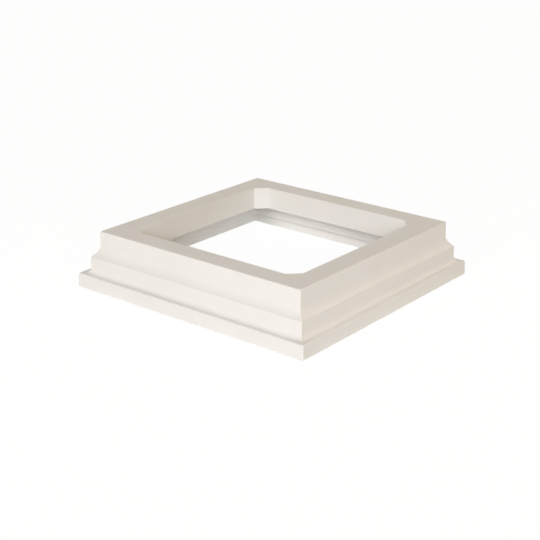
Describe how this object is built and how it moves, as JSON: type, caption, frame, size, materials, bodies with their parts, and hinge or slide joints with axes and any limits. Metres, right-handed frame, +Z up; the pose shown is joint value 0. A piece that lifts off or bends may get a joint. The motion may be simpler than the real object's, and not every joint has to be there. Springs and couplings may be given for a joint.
{
  "type": "post skirt trim",
  "caption": "Square moulded post skirt: hollow trim collar with a coved band and a flat flange that covers the foot of a square railing post sleeve.",
  "frame": {"origin": "centre of the footprint, on the deck plane that the flange's lip stands on", "axes": "+Z up along the post, X and Y square to the skirt's four sides"},
  "size_m": [0.1634, 0.1634, 0.0335],
  "materials": {
    "moulded_shell": "satin warm-white moulded exterior polymer with a very fine moulded grain"
  },
  "bodies": {
    "root": {"post_skirt": "moulded_shell"}
  },
  "joints": []
}
